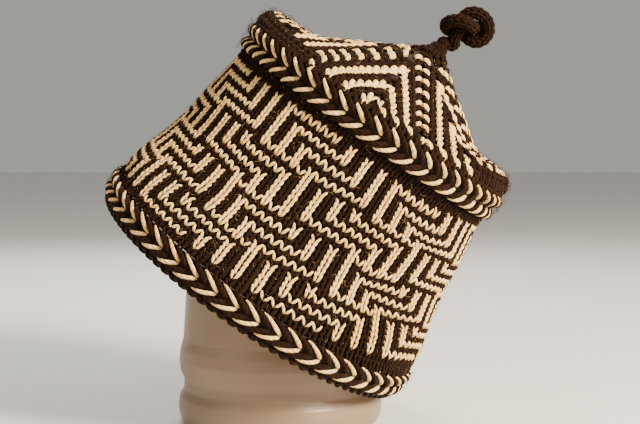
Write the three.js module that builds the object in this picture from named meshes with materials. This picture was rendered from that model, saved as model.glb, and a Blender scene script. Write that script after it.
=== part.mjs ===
import * as THREE from 'three';

// Knitted hat with two braided bands, a key pattern wall and a knotted cord on top.
// It leans to the right on a plain upturned tub. Millimetres, +Z up, front toward -Y.

const GAP = 0.3;
const WALL = 3.2;
const TURN = Math.PI * 2;

// Seat of the hat on the tub: centre of the brim, then lean right, lean forward and turn.
const BRIM_CENTRE = new THREE.Vector3(-13.9, 6.1, 63.8);
const LEAN_RIGHT = 35.3;
const LEAN_FORWARD = 4.8;
const HAT_TURN = 1.9;

// The outside of the hat. Heights run up the axis of the hat from the brim line.
// flat is depth over width: the middle is a little flattened front to back.
const HAT_SECTIONS = [
  { height: -2.0, radius: 85.9, flat: 1.0 },
  { height: 0.0, radius: 86.3, flat: 1.0 },
  { height: 9.9, radius: 87.2, flat: 0.99 },
  { height: 15.4, radius: 85.9, flat: 0.98 },
  { height: 24.2, radius: 84.9, flat: 0.95 },
  { height: 39.6, radius: 80.5, flat: 0.91 },
  { height: 54.9, radius: 76.7, flat: 0.89 },
  { height: 68.1, radius: 74.7, flat: 0.89 },
  { height: 81.3, radius: 72.3, flat: 0.91 },
  { height: 90.1, radius: 70.9, flat: 0.92 },
  { height: 98.9, radius: 71.3, flat: 0.94 },
  { height: 108.8, radius: 72.4, flat: 0.95 },
];

// The crown: a roll, a dip inside it, then a cone whose point leans right by shift.
// In front the roll is drawn in, so the cone runs straight up from the braid.
const CROWN_SECTIONS = [
  { height: 109.0, radius: 72.3, frontHeight: 109.0, frontRadius: 72.3, flat: 0.95, shift: -0.2 },
  { height: 112.8, radius: 72.8, frontHeight: 111.4, frontRadius: 70.1, flat: 0.95, shift: -0.3 },
  { height: 116.2, radius: 71.2, frontHeight: 113.1, frontRadius: 66.3, flat: 0.95, shift: -0.3 },
  { height: 118.2, radius: 67.2, frontHeight: 115.1, frontRadius: 62.1, flat: 0.95, shift: 0.0 },
  { height: 118.4, radius: 61.8, frontHeight: 117.0, frontRadius: 57.6, flat: 0.95, shift: 0.5 },
  { height: 117.6, radius: 56.0, frontHeight: 119.2, frontRadius: 52.7, flat: 0.96, shift: 1.3 },
  { height: 120.6, radius: 45.6, frontHeight: 123.3, frontRadius: 43.9, flat: 0.96, shift: 2.4 },
  { height: 127.8, radius: 34.0, frontHeight: 129.6, frontRadius: 32.6, flat: 0.97, shift: 3.5 },
  { height: 135.6, radius: 21.0, frontHeight: 136.6, frontRadius: 20.2, flat: 0.98, shift: 4.7 },
  { height: 143.1, radius: 10.0, frontHeight: 143.4, frontRadius: 9.7, flat: 1.0, shift: 5.8 },
  { height: 148.2, radius: 3.4, frontHeight: 148.2, frontRadius: 3.4, flat: 1.0, shift: 6.3 },
];
const FRONT_ANGLE = -10;
const FRONT_HALF_ANGLE = 62;
const RIM_LIFT = 0.4;
const APEX_HEIGHT = 148.6;

// Soft dents of the knit: where they are, how wide they are and how deep.
const DENTS = [
  { angle: -70, height: 46, halfAngle: 24, halfHeight: 20, depth: 1.2 },
  { angle: 92, height: 70, halfAngle: 30, halfHeight: 22, depth: -1.1 },
  { angle: 150, height: 60, halfAngle: 34, halfHeight: 26, depth: 2.2 },
];

// Bands, from the brim line up.
const EDGE_BAND = { from: -1.6, to: 1.6, bulge: 0.5, taper: 0.9 };
const BRIM_BRAID = { from: 1.9, to: 12.4, bulge: 2.0 };
const SIDE_HEIGHTS = [12.7, 17.0, 24.2, 39.6, 54.9, 68.1, 81.3, 90.1, 95.2];
const CROWN_BRAID = { from: 95.5, to: 108.7, bulge: 3.0 };
const SIDE_SEGMENTS = 56;
const EDGE_SEGMENTS = 49;

// Each braid has 49 pairs of strands that point to the right.
const BRAID_PAIRS = 49;
const STRAND_RELIEF = 0.45;
const STRAND_RUN = 9;
const BRAID_ROWS = [
  { at: 0.0, swell: 0.35 },
  { at: 0.25, swell: 1.0 },
  { at: 0.5, swell: 0.6 },
  { at: 0.75, swell: 1.0 },
  { at: 1.0, swell: 0.35 },
];

// Cord and overhand knot on the top.
const CORD_RADIUS = 3.1;
const CORD_SIDES = 8;
const CORD_STEPS = 86;
const KNOT_CENTRE = new THREE.Vector3(90.8, -6.0, 190.4);
const KNOT_RING = 7.4;
const KNOT_WEAVE = 3.4;
const KNOT_DEPTH = 3.6;
const KNOT_TILT = 46;
const KNOT_CUT = 0.38;
const KNOT_POINTS = 40;
const STEM_LENGTHS = [0, 2, 4];

// Upturned tub: outside radius by height, from the mouth at the bottom to the closed top.
const TUB_WALL = 1.2;
const TUB_LIP = 2.4;
const TUB_SEGMENTS = 44;
const TUB_SECTIONS = [
  { height: 0, radius: 48.2 },
  { height: 3.5, radius: 49.7 },
  { height: 8, radius: 50.2 },
  { height: 12.5, radius: 49.7 },
  { height: 16, radius: 47.6 },
  { height: 21, radius: 47.4 },
  { height: 25, radius: 49.2 },
  { height: 30.5, radius: 49.9 },
  { height: 36, radius: 49.2 },
  { height: 40.5, radius: 47.8 },
  { height: 58, radius: 46.7 },
  { height: 149.4, radius: 40.8 },
  { height: 152.4, radius: 37.8 },
];
const TUB_SHOULDER = 140;
const LIP_DEPTH = 12;
const FIRST_INNER_ROW = 4;

const COLOURS = {
  cream: { color: '#e2cda4', roughness: 0.9 },
  dark: { color: '#2f1d18', roughness: 0.92 },
  tub: { color: '#f1e4dc', roughness: 0.45 },
};

function radians(degrees) {
  return THREE.MathUtils.degToRad(degrees);
}

// Smooth value of one column of the hat table at a height.
function column(name, height) {
  const rows = HAT_SECTIONS;
  const above = rows.findIndex((row) => row.height > height);
  const i = above < 0 ? rows.length - 2 : Math.max(above - 1, 0);
  const slope = (k) => {
    const a = rows[Math.max(k - 1, 0)];
    const b = rows[Math.min(k + 1, rows.length - 1)];
    return (b[name] - a[name]) / (b.height - a.height);
  };
  const span = rows[i + 1].height - rows[i].height;
  const t = (height - rows[i].height) / span;
  const t2 = t * t;
  const t3 = t2 * t;
  return (2 * t3 - 3 * t2 + 1) * rows[i][name]
    + (t3 - 2 * t2 + t) * span * slope(i)
    + (3 * t2 - 2 * t3) * rows[i + 1][name]
    + (t3 - t2) * span * slope(i + 1);
}

// Inward shift of the wall at an angle and a height.
function dent(angle, height) {
  return DENTS.reduce((sum, d) => {
    const turn = Math.atan2(Math.sin(angle - radians(d.angle)), Math.cos(angle - radians(d.angle)));
    const a = turn / radians(d.halfAngle);
    const h = (height - d.height) / d.halfHeight;
    return sum + d.depth * Math.exp(-a * a - h * h);
  }, 0);
}

// A point in the hat's own frame. out is measured square to the outside of the knit.
function hatPoint(angle, height, out) {
  const step = 0.5;
  const rise = column('radius', height + step) - column('radius', height - step);
  const length = Math.hypot(rise, 2 * step);
  const flat = column('flat', height);
  const radius = column('radius', height) + (out * 2 * step) / length - dent(angle, height);
  const lift = (-out * rise) / length;
  return new THREE.Vector3(radius * Math.sin(angle), -flat * radius * Math.cos(angle), height + lift);
}

function hatMatrix() {
  const turn = new THREE.Euler(radians(LEAN_FORWARD), radians(LEAN_RIGHT), radians(HAT_TURN), 'YXZ');
  const place = new THREE.Matrix4().makeRotationFromEuler(turn);
  return place.setPosition(BRIM_CENTRE);
}

// Closed ring: every section is a closed loop of points around the knit wall.
function ringGeometry(segments, count, point) {
  const positions = [];
  const faces = [];
  for (let j = 0; j < segments; j += 1) {
    for (let i = 0; i < count; i += 1) {
      positions.push(...point(j, i).toArray());
      const a = j * count + i;
      const b = ((j + 1) % segments) * count + i;
      const c = ((j + 1) % segments) * count + ((i + 1) % count);
      const d = j * count + ((i + 1) % count);
      faces.push(a, b, c, a, c, d);
    }
  }
  const geometry = new THREE.BufferGeometry();
  geometry.setAttribute('position', new THREE.Float32BufferAttribute(positions, 3));
  geometry.setIndex(faces);
  geometry.computeVertexNormals();
  return geometry;
}

// Plain knit wall between the two braids.
function sideWall() {
  const loop = [
    ...SIDE_HEIGHTS.map((height) => ({ height, out: 0 })),
    ...[...SIDE_HEIGHTS].reverse().map((height) => ({ height, out: -WALL })),
  ];
  return ringGeometry(SIDE_SEGMENTS, loop.length, (j, i) => {
    return hatPoint((j / SIDE_SEGMENTS) * TURN, loop[i].height, loop[i].out);
  });
}

// Rolled cast-on edge, round in section.
function edgeBand() {
  const { from, to, bulge, taper } = EDGE_BAND;
  const loop = [
    { height: from, out: -taper },
    { height: (from + to) / 2, out: bulge },
    { height: to, out: 0 },
    { height: to, out: -WALL },
    { height: (from + to) / 2, out: -WALL - bulge },
    { height: from, out: taper - WALL },
  ];
  return ringGeometry(EDGE_SEGMENTS, loop.length, (j, i) => {
    return hatPoint((j / EDGE_SEGMENTS) * TURN, loop[i].height, loop[i].out);
  });
}

// Braided band: two rows of slanted strands, with ridge lines that meet in points.
function braidBand(band) {
  const height = (row) => THREE.MathUtils.lerp(band.from, band.to, row.at);
  const loop = [
    ...BRAID_ROWS.map((row) => ({ height: height(row), out: row.swell * band.bulge, at: row.at })),
    { height: band.to, out: -WALL, at: 1 },
    { height: (band.from + band.to) / 2, out: -WALL, at: 0.5 },
    { height: band.from, out: -WALL, at: 0 },
  ];
  const segments = BRAID_PAIRS * 2;
  return ringGeometry(segments, loop.length, (j, i) => {
    const { height: level, out, at } = loop[i];
    const shear = (Math.abs(at - 0.5) * 2 * STRAND_RUN) / column('radius', level);
    const relief = out > 0 ? STRAND_RELIEF * (j % 2 === 0 ? 1 : -1) : 0;
    return hatPoint((j / segments) * TURN - shear, level, out + relief);
  });
}

// How much of the front shape of the crown there is at an angle.
function frontShare(angle) {
  const turn = angle - radians(FRONT_ANGLE);
  const share = Math.atan2(Math.sin(turn), Math.cos(turn)) / radians(FRONT_HALF_ANGLE);
  return Math.exp(-(share ** 4));
}

// Inside points of a profile, one wall in from the outside ones and just above the braid.
function wallInside(rows) {
  return rows.map((row, i) => {
    const before = rows[Math.max(i - 1, 0)];
    const after = rows[Math.min(i + 1, rows.length - 1)];
    const length = Math.hypot(after.x - before.x, after.y - before.y);
    const radius = row.x - (WALL * (after.y - before.y)) / length;
    const height = row.y + (WALL * (after.x - before.x)) / length;
    return new THREE.Vector2(Math.max(radius, 0), Math.max(height, rows[0].y + RIM_LIFT));
  });
}

// Closed half section of the crown, outside then inside, with radius as x and height as y.
function crownSection(outside) {
  const inside = wallInside(outside);
  const point = new THREE.Vector2(0, APEX_HEIGHT);
  const pointInside = new THREE.Vector2(0, inside[inside.length - 1].y);
  return [...outside, point, pointInside, ...inside.slice(0, -1).reverse()];
}

// Crown: the roll, the cone and a closed point, with the same wall thickness inside.
function crownGeometry() {
  const rows = CROWN_SECTIONS;
  const side = crownSection(rows.map((row) => new THREE.Vector2(row.radius, row.height)));
  const front = crownSection(rows.map((row) => new THREE.Vector2(row.frontRadius, row.frontHeight)));
  const last = rows[rows.length - 1];
  const looks = [...rows, last, last, ...rows.slice(0, -1).reverse()];
  return ringGeometry(SIDE_SEGMENTS, side.length, (j, i) => {
    const angle = (j / SIDE_SEGMENTS) * TURN;
    const { x, y } = side[i].clone().lerp(front[i], frontShare(angle));
    const { flat, shift } = looks[i];
    return new THREE.Vector3(shift + x * Math.sin(angle), -flat * x * Math.cos(angle), y);
  });
}

function onHat(geometry) {
  return geometry.applyMatrix4(hatMatrix());
}

// Centre line of the cord: out of the top of the crown, then once through an overhand knot.
function cordPath() {
  const { shift } = CROWN_SECTIONS[CROWN_SECTIONS.length - 1];
  const foot = APEX_HEIGHT + GAP;
  const points = STEM_LENGTHS.map((length) => {
    return new THREE.Vector3(shift, 0, foot + length).applyMatrix4(hatMatrix());
  });
  for (let i = 0; i <= KNOT_POINTS; i += 1) {
    const t = -KNOT_CUT - (i / KNOT_POINTS) * (TURN - 2 * KNOT_CUT);
    const around = 2 * t - TURN / 4;
    const reach = KNOT_RING + KNOT_WEAVE * Math.cos(3 * t);
    const depth = KNOT_DEPTH * Math.sin(3 * t);
    const offset = new THREE.Vector3(reach * Math.cos(around), depth, reach * Math.sin(around));
    offset.applyAxisAngle(new THREE.Vector3(1, 0, 0), radians(KNOT_TILT));
    points.push(offset.add(KNOT_CENTRE));
  }
  return new THREE.CatmullRomCurve3(points, false, 'centripetal');
}

function knotGeometry() {
  const rim = [];
  for (let i = 0; i < CORD_SIDES; i += 1) {
    const angle = (i / CORD_SIDES) * TURN;
    rim.push(new THREE.Vector2(CORD_RADIUS * Math.cos(angle), CORD_RADIUS * Math.sin(angle)));
  }
  return new THREE.ExtrudeGeometry(new THREE.Shape(rim), {
    steps: CORD_STEPS,
    bevelEnabled: false,
    extrudePath: cordPath(),
  });
}

// Thin shell, open at the bottom, with a thicker lip that it stands on.
function tubGeometry() {
  const outside = TUB_SECTIONS.map(({ height, radius }) => new THREE.Vector2(radius, height));
  const top = outside[outside.length - 1];
  const inside = TUB_SECTIONS.slice(FIRST_INNER_ROW).map(({ height, radius }) => {
    return new THREE.Vector2(radius - TUB_WALL, height - (height > TUB_SHOULDER ? TUB_WALL : 0));
  });
  const lip = new THREE.Vector2(outside[0].x - TUB_LIP, 0);
  const profile = [
    new THREE.Vector2(0, top.y - TUB_WALL),
    ...inside.reverse(),
    new THREE.Vector2(lip.x, LIP_DEPTH),
    lip,
    ...outside,
    new THREE.Vector2(0, top.y),
  ];
  return new THREE.LatheGeometry(profile, TUB_SEGMENTS).rotateX(TURN / 4);
}

function piece(name, geometry, look) {
  const material = new THREE.MeshStandardMaterial({ ...look, metalness: 0 });
  material.name = name;
  const mesh = new THREE.Mesh(geometry, material);
  mesh.name = name;
  return mesh;
}

function centreOnFootprint(group) {
  const box = new THREE.Box3().setFromObject(group);
  const middle = box.getCenter(new THREE.Vector3());
  group.children.forEach((mesh) => mesh.geometry.translate(-middle.x, -middle.y, -box.min.z));
}

const hat = new THREE.Group();
hat.name = 'knitted_hat_on_tub';
hat.add(
  piece('brim_edge', onHat(edgeBand()), COLOURS.dark),
  piece('brim_braid', onHat(braidBand(BRIM_BRAID)), COLOURS.cream),
  piece('side_wall', onHat(sideWall()), COLOURS.cream),
  piece('crown_braid', onHat(braidBand(CROWN_BRAID)), COLOURS.cream),
  piece('crown', onHat(crownGeometry()), COLOURS.dark),
  piece('top_knot', knotGeometry(), COLOURS.dark),
  piece('stand_tub', tubGeometry(), COLOURS.tub),
);
centreOnFootprint(hat);

export default hat;
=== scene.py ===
import math

import bpy
import numpy as np
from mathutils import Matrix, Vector


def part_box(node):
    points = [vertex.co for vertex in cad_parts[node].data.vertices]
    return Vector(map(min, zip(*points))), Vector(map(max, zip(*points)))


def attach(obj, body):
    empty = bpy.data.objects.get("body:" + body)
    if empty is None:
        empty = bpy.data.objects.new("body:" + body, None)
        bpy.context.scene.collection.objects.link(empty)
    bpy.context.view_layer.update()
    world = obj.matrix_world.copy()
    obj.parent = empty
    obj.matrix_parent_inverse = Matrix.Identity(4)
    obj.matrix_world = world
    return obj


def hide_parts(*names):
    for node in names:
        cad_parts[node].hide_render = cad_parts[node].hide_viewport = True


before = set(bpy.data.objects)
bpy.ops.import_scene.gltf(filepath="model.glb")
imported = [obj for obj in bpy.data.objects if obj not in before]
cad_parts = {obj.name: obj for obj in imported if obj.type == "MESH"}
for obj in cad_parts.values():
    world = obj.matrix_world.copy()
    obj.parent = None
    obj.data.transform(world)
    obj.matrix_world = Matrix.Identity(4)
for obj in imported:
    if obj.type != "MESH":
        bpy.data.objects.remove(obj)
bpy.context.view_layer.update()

# Sizes are in millimetres and repeat those of the solids. make_piece turns them into metres.
MM = 0.001
TURN = 2 * math.pi

# Seat of the hat: centre of the brim beside the tub's axis, then lean right, lean forward, turn.
BRIM_FROM_TUB = (-13.9, 6.1, 63.8)
LEAN_RIGHT = 35.3
LEAN_FORWARD = 4.8
HAT_TURN = 1.9
WALL = 3.2

# Outside of the hat: height, radius, depth over width.
HAT_SECTIONS = np.array([
    (-2.0, 85.9, 1.0),
    (0.0, 86.3, 1.0),
    (9.9, 87.2, 0.99),
    (15.4, 85.9, 0.98),
    (24.2, 84.9, 0.95),
    (39.6, 80.5, 0.91),
    (54.9, 76.7, 0.89),
    (68.1, 74.7, 0.89),
    (81.3, 72.3, 0.91),
    (90.1, 70.9, 0.92),
    (98.9, 71.3, 0.94),
    (108.8, 72.4, 0.95),
])

# Crown: height, radius, height in front, radius in front, depth over width, shift to the right.
CROWN_SECTIONS = np.array([
    (109.0, 72.3, 109.0, 72.3, 0.95, -0.2),
    (112.8, 72.8, 111.4, 70.1, 0.95, -0.3),
    (116.2, 71.2, 113.1, 66.3, 0.95, -0.3),
    (118.2, 67.2, 115.1, 62.1, 0.95, 0.0),
    (118.4, 61.8, 117.0, 57.6, 0.95, 0.5),
    (117.6, 56.0, 119.2, 52.7, 0.96, 1.3),
    (120.6, 45.6, 123.3, 43.9, 0.96, 2.4),
    (127.8, 34.0, 129.6, 32.6, 0.97, 3.5),
    (135.6, 21.0, 136.6, 20.2, 0.98, 4.7),
    (143.1, 10.0, 143.4, 9.7, 1.0, 5.8),
    (148.2, 3.4, 148.2, 3.4, 1.0, 6.3),
    (150.8, 3.4, 150.8, 3.4, 1.0, 6.3),
])
FRONT_ANGLE = -10
FRONT_HALF_ANGLE = 62
APEX_HEIGHT = 148.6

# Dents: angle, height, half angle, half height, depth.
DENTS = (
    (-70, 46, 24, 20, 1.2),
    (92, 70, 30, 22, -1.1),
    (150, 60, 34, 26, 2.2),
)

# Steps for the slope and the normal of a surface, and the least radius of the crown.
SLOPE_STEP = 0.5
NORMAL_STEP = 0.4
LEAST_RADIUS = 0.05

# Equal arcs are worked out on this table of heights and steps round.
ARC_RANGE = (-4, 112)
ARC_ROWS = 59
ARC_STEPS = 721

# Knitted wall: 98 stitches round, 28 pattern rounds, two plain dark rounds at each end.
STITCHES = 98
REPEAT = 14
ROUNDS = 28
PATTERN = (16.4, 90.6)
LOW_BAND = (12.7, 16.4)
HIGH_BAND = (90.6, 95.2)
BAND_ROUNDS = 2
FIRST_COLUMN = 7
FIRST_ANGLE = -5.9

# One leg of a stitch: start and rise in rounds, distance from the middle of its column in
# columns, low and high, and how far out it lies in millimetres, at its ends and in its middle.
LEG_START = -0.36
LEG_RISE = 1.58
LEG_SPLAY = (0.13, 0.32)
LEG_OUT = (-0.9, 0.15)
LEG_STEPS = 6
LEG_ARCH = 0.7
THICK_END = 0.75

# A free leg has the other colour above it: it starts higher, ends lower and lies wider.
FREE_START = 0.08
FREE_DROP = 0.42
FREE_SPREAD = 0.13
FREE_PINCH = 0.05

# Unevenness of the hand-made stitches: columns, columns, millimetres, millimetres.
COLUMN_SWAY = 0.025
SPLAY_SWAY = 0.012
ROUND_SWAY = 0.10
DEPTH_SWAY = 0.06

# Yarn: half its width, and its depth over its width.
WALL_YARN = (0.72, 0.85)
BAND_YARN = (0.80, 0.90)
CROWN_YARN = (1.05, 0.80)
ROLL_YARN = (1.0, 1.0)
COLLAR_YARN = (0.85, 1.0)
CORD_YARN = (0.78, 0.90)
EDGE_YARN = (1.35, 0.70)
WALL_SIDES = 5
YARN_SIDES = 6

# Wrong side of the wall: steps to a stitch and to a round, and the ridge of each round.
# The outer face of the shell is dark all over: painted shade in the gaps between the stitches.
BACK_STEPS = 4
BACK_ROWS = 3
FRONT_STEPS = 6
FRONT_DEPTH = -1.5
RIDGE_HEIGHT = 0.55
RIDGE_WAVE = 0.16
RIDGE_WIDTH = 0.26
RIDGE_COLOUR = 0.45
BAND_MARGIN = 0.1

# Where the hand-made knit is pulled askew: column, round, half columns, half rounds,
# stitches to the right, rounds down.
PULLS = (
    (-8.3, 12.0, 6.5, 10.0, 0.8, 0.0),
    (4.5, -0.5, 3.0, 1.5, 0.0, -0.5),
    (7.0, 7.0, 2.5, 2.5, 0.0, 0.8),
    (1.5, 13.0, 4.0, 4.0, 0.0, 1.0),
    (5.5, 19.5, 5.0, 5.0, 0.0, 1.3),
    (17.5, 2.0, 4.5, 4.5, -0.3, 1.15),
    (16.8, 15.5, 2.2, 3.5, 0.0, 1.0),
    (20.0, 19.0, 4.5, 6.0, -0.8, 0.0),
    (26.0, 25.0, 8.0, 10.0, 0.0, -2.2),
    (22.0, 20.0, 4.0, 4.5, -0.4, 0.7),
    (21.0, 4.5, 3.0, 2.5, 0.0, 0.8),
    (-0.5, 19.0, 3.5, 5.0, 0.45, 0.0),
)

# Key pattern, one repeat: the columns that are cream in each round, from the top.
KEY_ROUNDS = (
    (0, 1, 2, 3, 4, 5, 6),
    (0, 8, 10, 12),
    (0, 2, 3, 4, 5, 6, 7, 8, 10, 12),
    (0, 2, 10, 12),
    (0, 2, 4, 5, 6, 7, 8, 9, 10, 12),
    (0, 2, 4, 12),
    (0, 2, 4, 6, 7, 8, 9, 10, 11, 12),
    (0, 1, 2, 3, 4, 5, 6),
    (6, 8, 10, 12),
    (6, 8, 10, 12, 13, 0, 1, 2, 3, 4),
    (4, 6, 8, 10),
    (6, 8, 10, 11, 12, 13, 0, 1, 2, 4),
    (2, 4, 6, 8),
    (2, 4, 6, 8, 9, 10, 11, 12, 13, 0),
)
TOP_ROUND_EXTRA = (8, 10, 12)

# Braids: heights of the band, how far it stands out and at which height its tips are, angle
# of one tip, run of a strand to its tip, and half the width of a cream strand.
BRAID_PAIRS = 49
BRIM_BRAID = {
    "from": 1.9, "to": 12.4, "bulge": 2.0, "tip": 6.8,
    "angle": -39.8, "run": 11.5, "yarn": 0.98,
}
CROWN_BRAID = {
    "from": 95.5, "to": 108.7, "bulge": 3.0, "tip": 101.8,
    "angle": -26.5, "run": 9.5, "yarn": 1.02,
}
BRAID_DARK_YARN = 1.35
BRAID_FLAT = 0.9
BRAID_STEPS = 12
BRAID_SIDES = 8
BRAID_CURVE = 1.35
BRAID_CROSSING = 0.35
BRAID_TOP = 0.4
BRAID_FOOT = 0.2
BRAID_SUNK = -1.1
BRAID_LIFT = 0.2
BRAID_ARCH = 0.8
BRAID_ARCH_SPAN = (0.06, 0.92)
BRAID_SWAY = 0.004

# A braid's strand grows from its start to this share of the way, and closes at its tip.
STRAND_START = 0.42
STRAND_GROWN = 0.65
STRAND_GROWTH = 0.8
STRAND_CLOSING = (1.03, 0.16)
STRAND_TIP = 0.25

# Shells behind the braids, the edge and the crown.
# Behind the braids and the crown their outer faces are dark all over: painted shade in the gaps
# between the strands.
SHELL_COLUMNS = 196
BRAID_BACK_ROWS = 6
BRAID_BACK_DEPTH = -1.4
BRAID_BACK_BULGE = 0.55
BRAID_BACK_RIDGE = 0.25
CROWN_BACK_COLUMNS = 112
CROWN_BACK_ROWS = 40
CROWN_BACK_START = 0.2
CROWN_BACK_DEPTH = -1.3
CROWN_BACK_RIDGE = 0.2
CROWN_BACK_OPEN = 3

# Cast-on loops: part of a turn that each takes round the edge, half turns, and its radii.
EDGE_TURNS = (-0.30, 0.80)
EDGE_LEAN = 0.2
EDGE_STEPS = 10
EDGE_RUN = 0.75
EDGE_HEIGHT = 0.15
EDGE_RADII = (1.25, 1.15)
EDGE_THICK_END = 0.8
EDGE_CORE_HEIGHT = 0.35
EDGE_CORE_RADII = (1.5, 1.2)
EDGE_CORE_SIDES = 10

# Crown pattern: seven wedges with a ladder between each two. Way up the crown and angle
# of the two ladders beside the front wedge, and of its middle. The others share the rest.
WEDGES = 7
RIGHT_LADDER = (
    (0, 19.0), (6, 15.5), (12, 15.5), (23, 14.5), (35, 12.5),
    (44, 9.5), (56, 4.0), (66, -5.0), (75, -20.0), (86, -35.0),
)
LEFT_LADDER = (
    (0, -35.0), (9, -36.5), (19, -38.0), (30, -41.5), (39, -43.0),
    (55, -43.5), (66, -48.0), (75, -58.0), (86, -75.0),
)
FRONT_MIDDLE = (
    (0, -5.0), (9, -5.5), (30, -8.0), (52, -10.5), (66, -24.0), (75, -38.0), (86, -55.0),
)

# Width of a column by the way up the crown: both halves of the front wedge, and the others.
LEFT_COLUMN = ((0, 4.9), (10, 5.4), (30, 6.1), (50, 6.5))
RIGHT_COLUMN = ((0, 3.5), (10, 3.7), (20, 3.95), (45, 4.1))
OTHER_COLUMN = ((0, 4.5), (86, 4.5))
MOST_COLUMNS = 9
WEDGE_REACH = 1.05
LEAST_HALF = 0.1

# Rounds of the crown. They lie closer on the left than in front: angle and stretch.
PATTERN_START = 1.0
CROWN_ROUNDS = 17
CROWN_ROUND = 4.9
DARK_ROUNDS = 2
CREAM_END = 76.0
CROWN_END = 85.4
ROUND_STRETCH = ((-100, 0.0), (-43, -0.09), (14, 0.05), (70, 0.0))
STRETCH_END = (55, 80)

# Stitches of the crown: start and rise in rounds, distance from the middle in columns, size
# of the thin leg, depth and height, and the width of a column that fits the yarn.
CROWN_LEG = (-0.18, 1.25)
CROWN_SPLAY = (0.08, 0.38)
THIN_LEG = 0.62
CROWN_SUNK = -0.9
CROWN_LIFT = 1.15
CROWN_SWAY = 0.08
CROWN_COLUMN = 4.25

# A rung of a ladder is one stroke from each side: how far it reaches, in columns, and how
# it rises, in rounds. On the left ladder the two strokes make an arrowhead.
LADDER_REACH = (-0.40, 0.40)
LADDER_RISE = (0.10, 0.62)
LEFT_LADDER_RISES = {-1: (0.50, 0.80), 1: (-0.35, 0.55)}
RUNG_BELOW = 0.28
RUNG_LIFT = 0.2

# Dark rounds in the crease beside the braid and round the cord.
ROLL_START = -1.2
ROLL_ROUND = 2.6
COLLAR_FROM = 79.5
COLLAR_COLUMNS = 8
COLLAR_ROUND = 2.5
COLLAR_ROUNDS = 3
COLLAR_OUT = (-0.5, 0.7)

# Loose fibres of the wool: count and length by colour.
FIBRE_STEPS = 4
FIBRE_RADIUS = 0.055
FIBRE_PROBE = 0.05
FIBRE_REACH = 0.35
FIBRE_LENGTHS = (0.5, 1.3)
FIBRE_BEND = 1.4
FIBRE_RISE = 0.42
FIBRE_ARCH = 0.8
FIBRE_TAPER = 1.1
FIBRE_SUNK = 0.5
FIBRE_SIDES = 3
WALL_FIBRES_CREAM = (1400, 3.2)
WALL_FIBRES_DARK = (2600, 3.6)
CROWN_FIBRES_CREAM = (450, 3.4)
CROWN_FIBRES_DARK = (900, 4.0)
RIM_FIBRES = (1700, 4.6)
BRAID_FIBRES = (900, 3.6)
KNOT_FIBRES = (600, 2.6)
CROWN_FIBRE_WAYS = (0.5, 78.0)
RIM_FIBRE_WAYS = (0.2, 15.0)

# Cord and its overhand knot.
CORD_RADIUS = 3.1
KNOT_FROM_TUB = (90.8, -6.0, 190.4)
KNOT_RING = 7.4
KNOT_WEAVE = 3.4
KNOT_DEPTH = 3.6
KNOT_TILT = 46
KNOT_CUT = 0.38
KNOT_POINTS = 40
STEM_LENGTHS = (0.3, 2.3, 4.3)
CORD_COLUMNS = 5
CORD_ROUND = 2.5
CORD_STEP = 0.5
CORD_START = 0.6
CORD_END = 1.5
CORD_SPLAY = (0.12, 0.36)
CORD_OUT = (-1.5, -0.5)
CORE_RADIUS = 2.1
CORE_SIDES = 12
CORE_TIP = (0.4, 2.0, 0.05)
KNOT_FIBRE_END = 1.0
KNOT_FIBRE_REACH = -0.3

# Upturned tub: height and outside radius.
TUB_WALL = 1.2
TUB_LIP = 2.4
TUB_SECTIONS = (
    (0, 48.2),
    (3.5, 49.7),
    (8, 50.2),
    (12.5, 49.7),
    (16, 47.6),
    (21, 47.4),
    (25, 49.2),
    (30.5, 49.9),
    (36, 49.2),
    (40.5, 47.8),
    (58, 46.7),
    (149.4, 40.8),
    (152.4, 37.8),
)
TUB_SHOULDER = 140
LIP_DEPTH = 12
FIRST_INNER_ROW = 4
TUB_SEGMENTS = 128
TUB_ROUNDING = 0.7
TUB_CUT = 0.4
TUB_ARC = (0.0, 0.33, 0.67, 1.0)
TUB_MIDDLE = 0.5
TUB_RIBS = 16
TUB_RIB_DEPTH = 0.10
TUB_RIB_HEIGHTS = (40, 140)
TUB_RIB_RADIUS = 36

# Camera of the photograph.
CAMERA_PLACE = (6.605, -612.011, 133.8)
CAMERA_PITCH = -3.0
CAMERA_FOCUS = 1231.0
CAMERA_CLIP = (0.01, 50.0)
IMAGE_WIDTH = 640
SENSOR = 36.0

# Stage, in metres: half the side of the floor, and the lights as name, place, the point
# they face, size, power and colour.
FLOOR_SIDE = 6.0
FLOOR_COLOUR = (0.80, 0.79, 0.77)
FLOOR_ROUGHNESS = 0.7
WORLD_COLOUR = (1.0, 0.96, 0.90)
WORLD_STRENGTH = 0.40
LIGHTS = (
    ("key", (0.85, -0.70, 0.65), (0.0, 0.0, 0.11), 0.40, 58.0, (1.0, 0.88, 0.69)),
    ("fill", (-0.8, -0.5, 0.45), (0.0, 0.0, 0.11), 0.6, 2.0, (1.0, 0.92, 0.80)),
    ("rim", (-0.2, 0.8, 0.7), (0.0, 0.0, 0.12), 0.5, 8.0, (1.0, 0.94, 0.86)),
)

# Noise of the materials: scale and detail.
DYE_NOISE = (45.0, 2.0)
YARN_NOISE = (1900.0, 4.0)
FUZZ_NOISE = (2600.0, 3.0)
WOOL_NOISE = (900.0, 2.0)
BACK_NOISE = (1500.0, 4.0)
CLOUD_NOISE = (28.0, 3.0)
SATIN_NOISE = (300.0, 3.0)
WAVE_NOISE = (120.0, 2.0)

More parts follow.
